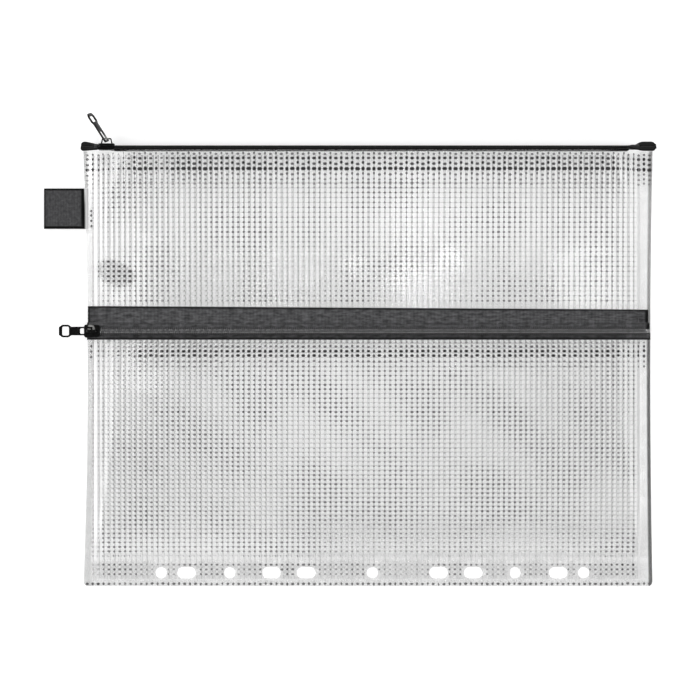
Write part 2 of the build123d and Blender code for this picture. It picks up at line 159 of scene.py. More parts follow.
def clear_film():
    """Calendered PVC film: clear and glossy, uneven in waves of 11 mm, with spots of haze of 6 mm, and
    greyer by its weld attribute: where it is welded, along the painted shade of a dark line at its right
    edge and of a leaf-shaped patch, and in broad zones of painted shade, with one clearer zone of painted
    light. Its gloss is the same from both sides: 0.03 straight on, rising with the fifth power of the facing
    angle."""
    material, tree, place = new_material("clear_calendered_pvc", "Object")
    # weld carries the welds' grey together with painted shade and painted light
    weld = add(tree, "Attribute", attribute_name="weld").outputs["Fac"]
    waves = add(tree, "TexNoise", {"Vector": place, "Scale": 1 / (11.11 * MM), "Detail": 2.0})
    bump = add(tree, "Bump", {"Height": waves, "Strength": 0.06, "Distance": 0.5 * MM})
    haze = add(tree, "TexNoise", {"Vector": place, "Scale": 1 / (5.882 * MM), "Detail": 2.0})
    level = add(tree, "Math", {0: haze, 1: 0.1, 2: weld}, operation="MULTIPLY_ADD")
    tint = add(tree, "ValToRGB", {0: level}, [(0.0, "#FFFFFF"), (1.0, "#E0E0E0")])
    through = add(tree, "BsdfTransparent", {"Color": tint})
    rough = add(tree, "MapRange", {"Value": weld, "To Min": 0.1, "To Max": 0.2})
    gloss = add(tree, "BsdfGlossy", {"Color": colour("#FFFFFF"), "Roughness": rough, "Normal": bump})
    facing = add(tree, "LayerWeight", {"Blend": 0.5, "Normal": bump}).outputs["Facing"]
    steep = add(tree, "Math", {0: facing, 1: 5.0}, operation="POWER")
    share = add(tree, "Math", {0: steep, 1: 0.5, 2: 0.03}, operation="MULTIPLY_ADD")
    mixed = add(tree, "MixShader", {0: share, 1: through, 2: gloss})
    add(tree, "OutputMaterial", {"Surface": mixed})
    return material


def net_yarn():
    """Polyester yarn of the net: pale grey filaments laid side by side, darker where yarns cross. The
    filaments are drawn 0.2 mm wide and 2 mm long so that they show."""
    material, tree, place = new_material("polyester_net_yarn", "Object")
    tone = add(tree, "Attribute", attribute_name="tone").outputs["Fac"]
    filament = tuple(1 / (size * MM) for size in (0.2222, 2.0, 0.2222))
    lengthwise = add(tree, "Mapping", {"Vector": place, "Scale": filament})
    fibres = add(tree, "TexNoise", {"Vector": lengthwise, "Scale": 1.0, "Detail": 2.0})
    shade = add(tree, "Math", {0: fibres, 1: 0.24, 2: -0.12}, operation="MULTIPLY_ADD")
    level = add(tree, "Math", {0: tone, 1: shade}, operation="ADD", use_clamp=True)
    base = add(tree, "ValToRGB", {0: level}, [(0.0, "#F4F4F4"), (0.5, "#8C8C8C"), (1.0, "#060606")])
    bump = add(tree, "Bump", {"Height": fibres, "Strength": 0.4, "Distance": 0.1 * MM})
    skin = add(tree, "BsdfPrincipled",
               {"Base Color": base, "Roughness": 0.55, "Sheen Weight": 0.2, "Normal": bump})
    add(tree, "OutputMaterial", {"Surface": skin})
    return material


def woven_tape(name, stops):
    """Black polyester zipper tape: a fine warp-faced weave, ribbed along its length, a little napped, with
    painted shade along creases and folds and darker along sealed edges, both mixed in by the attribute
    crease. The real weave of 0.3 mm is drawn at 0.55 mm by 0.8 mm so that it shows, and the nap lies in
    streaks of 4.2 mm by 1.6 mm."""
    material, tree, place = new_material(name, "UV")
    warp = add(tree, "TexWave", {"Vector": place, "Scale": BAND / (0.55 * MM), "Distortion": 0.0},
               bands_direction="Y")
    weft = add(tree, "TexWave", {"Vector": place, "Scale": BAND / (0.8 * MM), "Distortion": 0.0},
               bands_direction="X")
    weave = add(tree, "Math", {0: warp.outputs["Fac"], 1: weft.outputs["Fac"]}, operation="MULTIPLY")
    streak = (1 / (4.167 * MM), 1 / (1.613 * MM), 1.0)
    drawn = add(tree, "Mapping", {"Vector": place, "Scale": streak})
    cloud = add(tree, "TexNoise", {"Vector": drawn, "Scale": 1.0, "Detail": 3.0})
    level = add(tree, "Math", {0: weave, 1: 0.5, 2: cloud}, operation="MULTIPLY_ADD")
    cloth = add(tree, "ValToRGB", {0: level}, stops).outputs[0]
    # crease mixes in painted shade along folds and edges, and the darker sealed ends of the pocket's upper
    # tape
    crease = add(tree, "Attribute", attribute_name="crease").outputs["Fac"]
    base = add(tree, "Mix", {0: crease, 6: cloth, 7: colour("#040404")}, data_type="RGBA").outputs[2]
    bump = add(tree, "Bump", {"Height": weave, "Strength": 0.5, "Distance": 0.15 * MM})
    skin = add(tree, "BsdfPrincipled", {"Base Color": base, "Roughness": 0.85, "Specular IOR Level": 0.08,
                                        "Sheen Weight": 0.05, "Normal": bump})
    add(tree, "OutputMaterial", {"Surface": skin})
    return material


def grosgrain():
    """Grosgrain ribbon of the tab: ribs straight across, 0.9 mm apart, of yarns 0.6 mm wide, clouded over
    1.7 mm, with a tight dark selvedge, painted shade along its round fold, and pale where its root is fused
    into the film."""
    material, tree, place = new_material("grey_grosgrain_ribbon", "UV")
    rib = add(tree, "TexWave", {"Vector": place, "Scale": BAND / (0.9 * MM)}, bands_direction="X")
    yarn = add(tree, "TexWave", {"Vector": place, "Scale": BAND / (0.6 * MM)}, bands_direction="Y")
    weave = add(tree, "Math", {0: rib.outputs["Fac"], 1: yarn.outputs["Fac"]}, operation="MULTIPLY")
    cloud = add(tree, "TexNoise", {"Vector": place, "Scale": 1 / (1.667 * MM), "Detail": 3.0})
    level = add(tree, "Math", {0: weave, 1: 0.45, 2: cloud}, operation="MULTIPLY_ADD")
    cloth = add(tree, "ValToRGB", {0: level}, [(0.35, "#3A3A3C"), (0.6, "#484849"), (0.9, "#5C5C5E")])
    # selvedge also carries painted shade along the ribbon's round fold
    edge = add(tree, "Attribute", attribute_name="selvedge").outputs["Fac"]
    edged = add(tree, "Mix", {0: edge, 6: cloth, 7: colour("#030303")}, data_type="RGBA").outputs[2]
    root = add(tree, "Attribute", attribute_name="fused").outputs["Fac"]
    base = add(tree, "Mix", {0: root, 6: edged, 7: colour("#DEDEDE")}, data_type="RGBA").outputs[2]
    bump = add(tree, "Bump", {"Height": weave, "Strength": 0.5, "Distance": 0.2 * MM})
    skin = add(tree, "BsdfPrincipled", {"Base Color": base, "Roughness": 0.8, "Specular IOR Level": 0.08,
                                        "Sheen Weight": 0.05, "Normal": bump})
    add(tree, "OutputMaterial", {"Surface": skin})
    return material


def nylon_coil(name, stops):
    """Drawn nylon monofilament of the coils: black, smooth, scuffed grey in spots of 1.4 mm."""
    material, tree, place = new_material(name, "Object")
    spots = add(tree, "TexNoise", {"Vector": place, "Scale": 1 / (1.4286 * MM), "Detail": 3.0})
    base = add(tree, "ValToRGB", {0: spots}, stops)
    rough = add(tree, "MapRange", {"Value": spots, "To Min": 0.3, "To Max": 0.55})
    skin = add(tree, "BsdfPrincipled", {"Base Color": base, "Roughness": rough, "IOR": 1.53})
    add(tree, "OutputMaterial", {"Surface": skin})
    return material


def twisted_cord():
    """Spun polyester filler cord inside each coil: dark, matt and fibrous, its fibres clumped every 0.4
    mm."""
    material, tree, place = new_material("black_spun_cord", "Object")
    fibre = add(tree, "TexNoise", {"Vector": place, "Scale": 1 / (0.4 * MM), "Detail": 2.0})
    base = add(tree, "ValToRGB", {0: fibre}, [(0.3, "#1B1B1B"), (0.8, "#3A3A3A")])
    bump = add(tree, "Bump", {"Height": fibre, "Strength": 0.5, "Distance": 0.1 * MM})
    skin = add(tree, "BsdfPrincipled", {"Base Color": base, "Roughness": 0.85, "Normal": bump})
    add(tree, "OutputMaterial", {"Surface": skin})
    return material


def black_enamel(name, highlight_place):
    """Stoved black enamel on die-cast zinc: deep gloss, orange peel of 1.1 mm, thin grey rubs of 2.4 mm, and
    a painted highlight of bright grey within 2 mm of the place highlight_place, in mm."""
    material, tree, place = new_material(name, "Object")
    peel = add(tree, "TexNoise", {"Vector": place, "Scale": 1 / (1.111 * MM), "Detail": 1.0})
    rubs = add(tree, "TexNoise",
               {"Vector": place, "Scale": 1 / (2.381 * MM), "Detail": 5.0, "Roughness": 0.7})
    paint = add(tree, "ValToRGB", {0: rubs}, [(0.55, "#050505"), (0.74, "#101010"), (0.9, "#3A3A3C")])
    # painted highlight: the colour turns bright grey near this place, with a ragged edge
    away = add(tree, "VectorMath", {0: place, 1: tuple(v * MM for v in highlight_place)}, operation="DISTANCE")
    ragged = add(tree, "Math", {0: peel, 1: 1.2 * MM, 2: away.outputs["Value"]}, operation="MULTIPLY_ADD")
    painted_highlight = add(tree, "MapRange", {"Value": ragged, "From Min": 3.0 * MM, "From Max": 2.0 * MM})
    base = add(tree, "Mix", {0: painted_highlight, 6: paint, 7: colour("#B4B4B2")}, data_type="RGBA").outputs[2]
    rough = add(tree, "MapRange", {"Value": rubs, "To Min": 0.14, "To Max": 0.34})
    bump = add(tree, "Bump", {"Height": peel, "Strength": 0.15, "Distance": 0.1 * MM})
    skin = add(tree, "BsdfPrincipled",
               {"Base Color": base, "Roughness": rough, "Specular IOR Level": 0.14, "Normal": bump})
    add(tree, "OutputMaterial", {"Surface": skin})
    return material


def sewing_thread():
    """Black polyester sewing thread: two plies, 0.6 mm a turn, with a soft lustre."""
    material, tree, place = new_material("black_sewing_thread", "Object")
    ply = add(tree, "TexWave", {"Vector": place, "Scale": BAND / (0.6 * MM), "Distortion": 1.0},
              bands_direction="DIAGONAL").outputs["Fac"]
    base = add(tree, "ValToRGB", {0: ply}, [(0.0, "#0B0B0B"), (1.0, "#1E1E1F")])
    skin = add(tree, "BsdfPrincipled", {"Base Color": base, "Roughness": 0.5, "Sheen Weight": 0.2})
    add(tree, "OutputMaterial", {"Surface": skin})
    return material


def pale_floor():
    """Matt white paper over a light table, its grain 3.3 mm: it glows a little, so nothing on it throws a
    hard shadow."""
    material, tree, place = new_material("white_paper_sweep", "Object")
    grain = add(tree, "TexNoise", {"Vector": place, "Scale": 1 / (3.333 * MM), "Detail": 2.0})
    base = add(tree, "ValToRGB", {0: grain}, [(0.3, "#F4F4F4"), (0.7, "#FAFAFA")])
    skin = add(tree, "BsdfPrincipled", {"Base Color": base, "Roughness": 0.9,
                                        "Emission Color": colour("#FFFFFF"), "Emission Strength": 0.4})
    add(tree, "OutputMaterial", {"Surface": skin})
    return material


# Meshes

def piece(name, points, faces, material, slot, body="wallet", node=None, smooth=True, uv=None, **fields):
    """Makes one piece of points in millimetres and lists of same-sided faces, in place of a node where one
    is named; fields are numbers per point."""
    points = np.asarray(points, float).reshape(-1, 3) * MM
    faces = faces if isinstance(faces, list) else [faces]
    corners = np.concatenate([f.ravel() for f in faces])
    sides = np.concatenate([np.full(len(f), f.shape[1]) for f in faces])
    mesh = bpy.data.meshes.new(name)
    mesh.vertices.add(len(points))
    mesh.vertices.foreach_set("co", points.ravel())
    mesh.loops.add(len(corners))
    mesh.loops.foreach_set("vertex_index", corners)
    mesh.polygons.add(len(sides))
    mesh.polygons.foreach_set("loop_start", np.concatenate([[0], np.cumsum(sides)[:-1]]))
    mesh.polygons.foreach_set("use_smooth", np.full(len(sides), smooth))
    if uv is not None:
        layer = mesh.uv_layers.new(name="UVMap")
        layer.uv.foreach_set("vector", (uv.reshape(-1, 2) * MM)[corners].ravel())
    for key, values in fields.items():
        mesh.attributes.new(key, "FLOAT", "POINT").data.foreach_set("value", np.ravel(values))
    mesh.update(calc_edges=True)
    mesh.validate()
    made = bpy.data.objects.new(name, mesh)
    bpy.context.collection.objects.link(made)
    mesh.materials.append(material)
    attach(made, body)
    if node:
        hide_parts(node)
    return made


def grid(rows, columns, wrap=False):
    """Quads of a grid of points, row by row; wrap joins the last column to the first."""
    n = np.arange(rows * columns).reshape(rows, columns)
    if wrap:
        n = np.concatenate([n, n[:, :1]], 1)
    return np.stack([n[:-1, :-1], n[:-1, 1:], n[1:, 1:], n[1:, :-1]], -1).reshape(-1, 4)


def tube(rows, sides):
    """Faces of a tube of rings of points, with both ends closed."""
    ring = np.arange(sides)[None]
    return [grid(rows, sides, wrap=True), ring[:, ::-1], ring + (rows - 1) * sides]


def joined(parts):
    """Several (points, quads, value per point) sets as one."""
    starts = np.cumsum([0] + [len(p[0]) for p in parts[:-1]])
    return (np.concatenate([p[0] for p in parts]),
            np.concatenate([p[1] + s for p, s in zip(parts, starts)]),
            np.concatenate([np.broadcast_to(p[2], len(p[0])) for p in parts]))


def thicken(made, thickness):
    """Gives a surface its thickness on the side away from its faces."""
    wall = made.modifiers.new("thickness", "SOLIDIFY")
    wall.thickness, wall.offset, wall.use_even_offset = thickness * MM, -1.0, False
    return made


# Heights of the films

# A full turn in radians, and the range that the phases of random waves are drawn from
FULL_TURN, PHASES = 6.2832, 6.28


def arc_rise(d, run, rise):
    """Height of a circular arc that starts at d = 0 and is level, at rise, from d = run onwards."""
    radius = (run**2 + rise**2) / (2 * rise)
    d = np.clip(d, 0, run)
    return np.sqrt(radius**2 - (run - d) ** 2) - (radius - rise)


def soft_min(a, b, width=1.2):
    """The lower of two heights, with the crease between them rounded over a band of that width."""
    h = np.clip(0.5 + 0.5 * (b - a) / width, 0, 1)
    return b * (1 - h) + a * h - width * h * (1 - h)


def step(v, low, high):
    """Smooth rise from 0 at low to 1 at high."""
    t = np.clip((v - low) / (high - low), 0, 1)
    return t * t * (3 - 2 * t)


def bell(x, y, x0, y0, wide, tall):
    """A round hill of height 1 at a point, falling away over wide and tall."""
    return np.exp(-((x - x0) / wide) ** 2 - ((y - y0) / tall) ** 2)


def slack(x, y, seed):
    """Shallow random waves of slack film: nine sine waves, 28 to 75 mm long, in seeded directions."""
    count, shortest, longest = 9, 28, 75
    r = np.random.default_rng(seed)
    turns, phases = r.uniform(0, math.pi, count), r.uniform(0, PHASES, count)
    lengths = r.uniform(shortest, longest, count)
    waves = [np.sin(FULL_TURN * (x * math.cos(t) + y * math.sin(t)) / length + phase)
             for t, phase, length in zip(turns, phases, lengths)]
    return sum(waves) / count


def front_height(x, y):
    """Outer height of the front film: an arc up from the filing strip to a level, then an arc up to the
    mouth, cut down at each side by an arc to the weld; creased, sagging at the left and waved where it
    hangs free."""
    x, y = np.broadcast_arrays(np.asarray(x, float), np.asarray(y, float))
    over = np.clip(y - MOUTH_START, 0, None)
    mouth = MOUTH_RADIUS - np.sqrt(MOUTH_RADIUS**2 - over**2)
    along = FILM + arc_rise(y - STRIP_EDGE, FRONT_RUN, FRONT_RISE) + mouth
    across = FILM + arc_rise(BLISTER - np.abs(x), *FRONT_ARC)
    free = step(y, 38, 52) * (1 - step(y, 108, 120)) * (1 - step(np.abs(x), 138, 150))
    waves = 0.3 * slack(x, y, 5) * (1 - bell(x, y, 30, 48, 13, 15))
    crease = 0.35 * bell(x, y, 31, 84, 6, 14) - 0.25 * bell(x, y, 41, 80, 6, 14)
    sag = 0.5 * step(-x, 124, 153) * step(y, 36, 50) * (1 - step(y, 104, 120))
    return np.maximum(soft_min(along + free * waves + crease - sag, across), 2 * FILM + PARTING)


def pocket_height(x, y):
    """Outer height of the pocket film: an arc up from the filing strip to a level that runs to the pocket's
    mouth, cut down at each side by an arc to the weld, and waved where it hangs free."""
    x, y = np.broadcast_arrays(np.asarray(x, float), np.asarray(y, float))
    along = 2 * FILM + arc_rise(y - STRIP_EDGE, POCKET_RUN, POCKET_RISE)
    across = 2 * FILM + arc_rise(POCKET_HALF - np.abs(x), *POCKET_ARC)
    free = step(y, -95, -60) * (1 - step(y, -4, 8)) * (1 - step(np.abs(x), 130, 146))
    waves = 0.35 * slack(x, y, 11)
    return np.maximum(soft_min(along + free * waves, across), 3 * FILM + 2 * PARTING)


def back_height(x, y):
    """Outer face of the flat rear film, on the table."""
    return np.zeros(np.broadcast(x, y).shape)


def laid(height, x, y, depth=0.0):
    """Points at these places, at a depth under a film's outer face."""
    return np.stack([x, y, height(x, y) - depth], -1)


# Films

def film_piece(name, points, quads, weld, node=None):
    """A piece of film, which throws no shadow; weld is how grey it is at each point, painted shade and light
    included.
    """
    made = piece(name, points, quads, film_material, "film", node=node, weld=weld)
    made.visible_shadow = False
    return made


def between(a, b, pitch):
    """Evenly spaced places from a to b, about pitch apart, without the last."""
    return np.linspace(a, b, max(2, int(np.ceil((b - a) / pitch)) + 1))[:-1]


def film_places():
    """Places across the film that the strip's hole patches and the panel above share, and each patch's
    range."""
    coarse, fine, margin = 2.2, 1.5, 2.6
    ends = np.array([0, 0.6, 1.5, 2.5, 3.5, 5.1]) - HALF
    places, ranges, at = [ends], [], -POCKET_HALF
    for x, half in OPENINGS:
        reach = half + margin
        places.append(between(at, x - reach, coarse))
        start = sum(map(len, places))
        places.append(between(x - reach, x + reach, fine))
        ranges.append((start, start + len(places[-1])))
        at = x + reach
    places += [between(at, POCKET_HALF, coarse), np.array([POCKET_HALF]), -ends[::-1]]
    return np.concatenate(places), ranges


def film_layout(upper):
    """Flat layout of a film up to the height upper: a grid above the strip, and in the strip, grids between
    the filing holes and, round each hole, rings of quads from its edge out to a rectangle. Returns points
    and quads."""
    row_pitch = 2.0
    xs, ranges = film_places()
    strip = np.array([0, 0.6, 1.5, 3.0, 5.4, 7.8, 10.2, 12.8, TOP + STRIP_EDGE]) - TOP
    stops = [STRIP_EDGE, *(v for v in (NOTCH_LOW, NOTCH_HIGH) if v < upper), upper]
    body = np.concatenate([between(a, b, row_pitch) for a, b in zip(stops, stops[1:])] + [[upper]])
    ring_shares = np.array([1, 0.66, 0.33, 0.1, 0])[:, None, None]
    patches = []

    def plain(x, y):
        gx, gy = np.meshgrid(x, y)
        patches.append((np.stack([gx, gy], -1).reshape(-1, 2), grid(len(y), len(x)), 0.0))

    plain(xs, body)
    last = 0
    for (cx, half), (a, b) in zip(OPENINGS, ranges):
        if a > last:
            plain(xs[last:a + 1], strip)
        x, last = xs[a:b + 1], b
        ring = np.concatenate([
            np.stack([x, np.full(len(x), strip[0])], 1),
            np.stack([np.full(len(strip) - 1, x[-1]), strip[1:]], 1),
            np.stack([x[-2::-1], np.full(len(x) - 1, strip[-1])], 1),
            np.stack([np.full(len(strip) - 2, x[0]), strip[-2:0:-1]], 1)])
        core_x = np.clip(ring[:, 0], cx - half + HOLE_RADIUS, cx + half - HOLE_RADIUS)
        core = np.stack([core_x, np.full(len(ring), HOLE_Y)], 1)
        out = ring - core
        edge = core + HOLE_RADIUS * out / np.linalg.norm(out, axis=1, keepdims=True)
        rings = edge + (ring - edge) * ring_shares
        patches.append((rings.reshape(-1, 2), grid(len(rings), len(ring), wrap=True), 0.0))
    plain(xs[last:], strip)
    flat, quads, _ = joined(patches)
    flat, same = np.unique(np.round(flat, 4), axis=0, return_inverse=True)
    return flat, same.reshape(-1)[quads]


def outlined(x, y):
    """Moves layout points to the film's outline: its ends bow in, and each square of 3 mm in a lower corner
    is drawn in to a quarter circle."""
    left_bow, right_bow, bow_start = 2.5, 1.3, 140
    middle_x, middle_y = HALF - CORNER, CORNER - TOP
    side = np.sign(x)
    cx, cy = x - side * middle_x, y - middle_y
    corner = (np.abs(x) > middle_x) & (y < middle_y)
    k = np.where(corner, np.maximum(np.abs(cx), np.abs(cy)) / np.maximum(np.hypot(cx, cy), 1e-9), 1)
    x, y = np.where(corner, side * middle_x + cx * k, x), np.where(corner, middle_y + cy * k, y)
    bow = np.where(x < 0, left_bow, right_bow) * (1 - (y / TOP) ** 2)
    return x - side * bow * np.clip((np.abs(x) - bow_start) / (HALF - bow_start), 0, 1) ** 2, y


def painted_shade_patch(x, y):
    """A leaf-shaped patch of painted shade near the left end, above the pocket's zipper: 1 inside it, 0
    outside.
    """
    patch_x, patch_y, half_long, half_tall, lean = -144.0, 54.5, 12.5, 7.5, 0.22
    u = (x - patch_x) / half_long
    v = (y - patch_y + lean * (x - patch_x)) / half_tall
    return 1 - step(u * u + v * v, 0.7, 1.1)


def painted_shade_and_light(x, y):
    """Painted shade and light on the film: greyer low in the upper panel and along the pocket's foot, and
    clearer in the upper middle of the pocket."""
    upper = step(-y, -92, -40) * step(y, 26, 34) * step(x, -135, -112) * (1 - 0.6 * step(x, 95, 115))
    foot = step(-y, 75, 95) * (1 - step(-y, 106, 110)) * step(x, -60, -20)
    clear = bell(x, y, -40, -20, 60, 40) * step(-y, -14, -4)
    return 0.17 * upper + 0.07 * foot - 0.055 * clear


def weld_grey_and_painted_shade(x, y):
    """How grey the film is: a pale band inside the left end with a line along it above the tab, a dark line
    along the right end that is painted shade of the film's edge, with a paler band inside it, a trace of
    grey over the filing strip and its foot, a leaf-shaped patch of painted shade, and the painted shade and
    light of painted_shade_and_light."""
    left_band = (1 - step(x, -157.4, -156.6)) * (0.02 + 0.2 * step(-y, -110, -75) + 0.02 * step(-y, -30, -5))
    left_line = 0.5 * (1 - step(x, -160.3, -159.8)) * step(y, 98, 104)
    right_band = step(x, 153.0, 155.0) * (0.05 + 0.08 * step(y, 10, 20))
    # painted shade: the film's right edge drawn as a dark grey line
    right_edge_shade = step(x, 159.2, 160.2) * (0.8 + 0.2 * step(-y, -60, 0))
    strip = 0.13 * step(-y, 109.5, 111.0) + 0.03 * step(-y, 120.9, 121.9)
    marks = [left_band, left_line, right_band, right_edge_shade, strip, 0.25 * painted_shade_patch(x, y)]
    return np.max(marks, axis=0) + painted_shade_and_light(x, y)


def film_panel(name, node, height, upper, notch, up):
    """One film: the layout lifted to its height, with the tab's notch left out where there is one."""
    flat, quads = film_layout(upper)
    x, y = outlined(flat[:, 0], flat[:, 1])
    if notch:
        mx, my = flat[quads].mean(1).T
        quads = quads[~((mx < NOTCH_X) & (my > NOTCH_LOW) & (my < NOTCH_HIGH))]
        used, quads = np.unique(quads, return_inverse=True)
        quads, x, y, flat = quads.reshape(-1, 4), x[used], y[used], flat[used]
    made = film_piece(name, laid(height, x, y), quads if up else quads[:, ::-1],
                      weld_grey_and_painted_shade(flat[:, 0], flat[:, 1]), node)
    return thicken(made, FILM)


def hem(name, height, wide, edge, half, lip, inward):
    """The turned-in layer of a hem: it follows the film at a depth, then turns at the edge into a lip."""
    gap, lip_gap, lip_start = 0.45, 0.25, 0.15
    y = np.concatenate([np.linspace(edge - wide, edge - gap, 8), np.full(4, edge - lip_gap)])
    depth = HEM_DEPTH + np.concatenate([np.zeros(8), np.linspace(lip_start, lip, 4)])
    gx, gy = np.meshgrid(np.linspace(-half, half, 121), y)
    quads = grid(*gx.shape)
    made = film_piece(name, laid(height, gx, gy, inward * depth[:, None]),
                      quads if inward > 0 else quads[:, ::-1], np.zeros(gx.size))
    return thicken(made, HEM_FILM)


# The net of threads inside the films

HEXAGON = np.array([(1, 0), (0.5, 1), (-0.5, 1), (-1, 0), (-0.5, -1), (0.5, -1)])
DIAMOND = np.array([(1, 0), (0, 1), (-1, 0), (0, -1)])


def threads(paths, half_width, half_height, across, tone, section=HEXAGON):
    """A flattened section carried along many paths at once: at each point its corners stand off by the half
    width across and the half height up, and quads close both ends."""
    n, m = paths.shape[:2]
    k = len(section)
    w = np.broadcast_to(np.reshape(half_width, (-1, 1)), (n, 1))[..., None, None]
    spread = section[:, :1] * np.array(across)
    rise = section[:, 1:] * np.array([0, 0, half_height])
    points = (paths[:, :, None, :] + w * spread + rise).reshape(-1, 3)
    ends = np.array([[0, 1, 2, 3], [0, 3, 4, 5]])[:k // 2 - 1]
    one = np.concatenate([grid(m, k, wrap=True), ends, (ends + (m - 1) * k)[:, ::-1]])
    if across[0]:
        one = one[:, ::-1]
    quads = (one[None] + (np.arange(n) * m * k)[:, None, None]).reshape(-1, 4)
    tone = np.broadcast_to(np.reshape(tone, (-1, 1)), (n, m * k))
    return points, quads, tone.ravel()


def lenses(height, x, y, wide, tall, tone):
    """Small flat lenses at many places, 0.2 mm thick and just under a film's face, which each corner
    follows: a ring of six corners at mid height, a pole above and a pole below."""
    thick, depth = 0.2, 0.11
    a = np.arange(6) * math.pi / 3
    ring = np.stack([np.cos(a), np.sin(a), np.zeros(6)], -1)
    shape = np.concatenate([ring, [(0, 0, 1), (0, 0, -1)]]) / 2
    wide, tall, tone = (np.broadcast_to(v, len(x)) for v in (wide, tall, tone))
    px, py = x[:, None] + shape[:, 0] * wide[:, None], y[:, None] + shape[:, 1] * tall[:, None]
    points = laid(height, px, py, depth - thick * shape[:, 2]).reshape(-1, 3)
    one = np.array([(6, 0, 1, 2), (6, 2, 3, 4), (6, 4, 5, 0), (7, 2, 1, 0), (7, 4, 3, 2), (7, 0, 5, 4)])
    quads = (one[None] + (np.arange(len(x)) * 8)[:, None, None]).reshape(-1, 4)
    return points, quads, np.repeat(tone, 8)


def yarn_piece(name, parts, smooth=True):
    """One piece of net yarn from several (points, quads, tone per point) sets."""
    points, quads, tone = joined(parts)
    return piece(name, points, quads, yarn_material, "film", smooth=smooth, tone=np.clip(tone, 0, 1))


def weld_bead(name, height, y, half, wide, tall):
    """The raised bead of a weld line along X: a flattened six-sided rod, half sunk in the film."""
    x = np.linspace(-half, half, 160)
    path = laid(height, x, np.full_like(x, y))
    return film_piece(name, *threads(path[None], wide / 2, tall, (0, 1, 0), 0.0))


def column_places():
    """Places of the net's warp threads across the film, and which of them are the thin ones."""
    x = np.arange(NET_LEFT, NET_RIGHT, NET_PITCH)
    return x, np.arange(len(x)) % 2 == 0


def hole_band(x, grow):
    """For each place across the film, the part of the strip's height that a filing hole takes up there."""
    cx, half = np.array(OPENINGS).T
    off = np.clip(np.abs(x[:, None] - cx) - (half - HOLE_RADIUS), 0, None).min(1)
    reach = np.sqrt(np.clip((HOLE_RADIUS + grow) ** 2 - off**2, 0, None))
    return HOLE_Y - reach, HOLE_Y + reach


def faded(x):
    """The share of a yarn's tone that shows at each place across the film: little in the side welds."""
    return 0.25 + 0.75 * step(x, -154.5, -149.5) * (1 - step(x, 151.5, 153.0))


def net(name, height, upper, depth, shift, rows, counts, widths, tones):
    """The net of one film: upright yarns, thin and wide in turn, broken at the filing holes, and level
    yarns between them, in the panel and in the strip. Widths and tones are those of thin, wide and level
    yarns."""
    upright_half, level_half, strip_half, clearance, end_gap = 0.09, 0.04, 0.06, 0.35, 0.4
    x, thin = column_places()
    half_width = np.where(thin, widths[0], widths[1]) / 2 * rng.uniform(0.9, 1.1, len(x))
    tone = np.where(thin, tones[0], tones[1]) * faded(x)
    low_hole, high_hole = hole_band(x, clearance)
    parts = []
    stretches = ((PANEL_FOOT, upper, counts[0]), (high_hole, PANEL_FOOT, 3), (NET_FOOT, low_hole, 3))
    for low, high, count in stretches:
        low, high = np.broadcast_to(low, len(x))[:, None], np.broadcast_to(high, len(x))[:, None]
        gy = low + (high - low) * np.linspace(0, 1, count)
        path = laid(height, np.broadcast_to((x + shift)[:, None], gy.shape), gy, depth)
        parts.append(threads(path, half_width, upright_half, (1, 0, 0), tone))
    gx, gy = np.meshgrid(np.linspace(LEVEL_LEFT, LEVEL_RIGHT, counts[1]), rows)
    path = laid(height, gx, gy, depth)
    parts.append(threads(path, widths[2] / 2, level_half, (0, 1, 0), tones[2], DIAMOND))
    gaps = [v for cx, half in OPENINGS for v in (cx - half - end_gap, cx + half + end_gap)]
    start, end = np.array([LEVEL_LEFT, *gaps, LEVEL_RIGHT]).reshape(-1, 2, 1).transpose(1, 0, 2)
    gx = start + (end - start) * np.linspace(0, 1, 4)
    for row in STRIP_ROWS:
        path = laid(height, gx, np.full_like(gx, row), depth)
        parts.append(threads(path, widths[2] / 2, strip_half, (0, 1, 0), tones[2], DIAMOND))
    return yarn_piece(name, parts, smooth=False)


def crossings(name, height, rows, sizes, tones, seed):
    """The flat pads where level yarns pass upright ones, darker in patches where the nets of two films line
    up, and larger and darker in the leaf-shaped patch of painted shade; sizes and tones are those on thin
    and on wide yarns."""
    first, last, clearance, patch_dark = -157, 152, 0.9, 0.85
    x, thin = column_places()
    keep = (x > first) & (x < last)
    x, thin = x[keep], thin[keep]
    low_hole, high_hole = hole_band(x, clearance)
    px, py = (v.ravel() for v in np.meshgrid(x, rows))
    small = np.tile(thin, len(rows))
    clear = (py < np.tile(low_hole, len(rows))) | (py > np.tile(high_hole, len(rows)))
    px, py, small = px[clear], py[clear] + rng.normal(0, 0.05, clear.sum()), small[clear]
    patch = np.clip(0.55 + 1.5 * slack(px, py, seed), 0, 1)
    size = rng.uniform(0.88, 1.12, len(px)) * (0.8 + 0.3 * patch)
    by_row = np.repeat(rng.uniform(0.75, 1.15, len(rows)), len(x))[clear]
    by_pad = rng.uniform(0.9, 1.1, len(px))
    tone = np.where(small, *tones) * (0.45 + 0.55 * patch) * by_row * by_pad * faded(px)
    # painted shade: inside the leaf patch the pads grow and darken
    mark = painted_shade_patch(px, py)
    size, tone = size * (1 + 0.35 * mark), tone * (1 - mark) + patch_dark * mark
    wide = np.where(small, sizes[0], sizes[1]) * size
    tall = np.where(small, sizes[0], 0.75 * sizes[1]) * size
    return yarn_piece(name, [lenses(height, px, py, wide, tall, tone)])


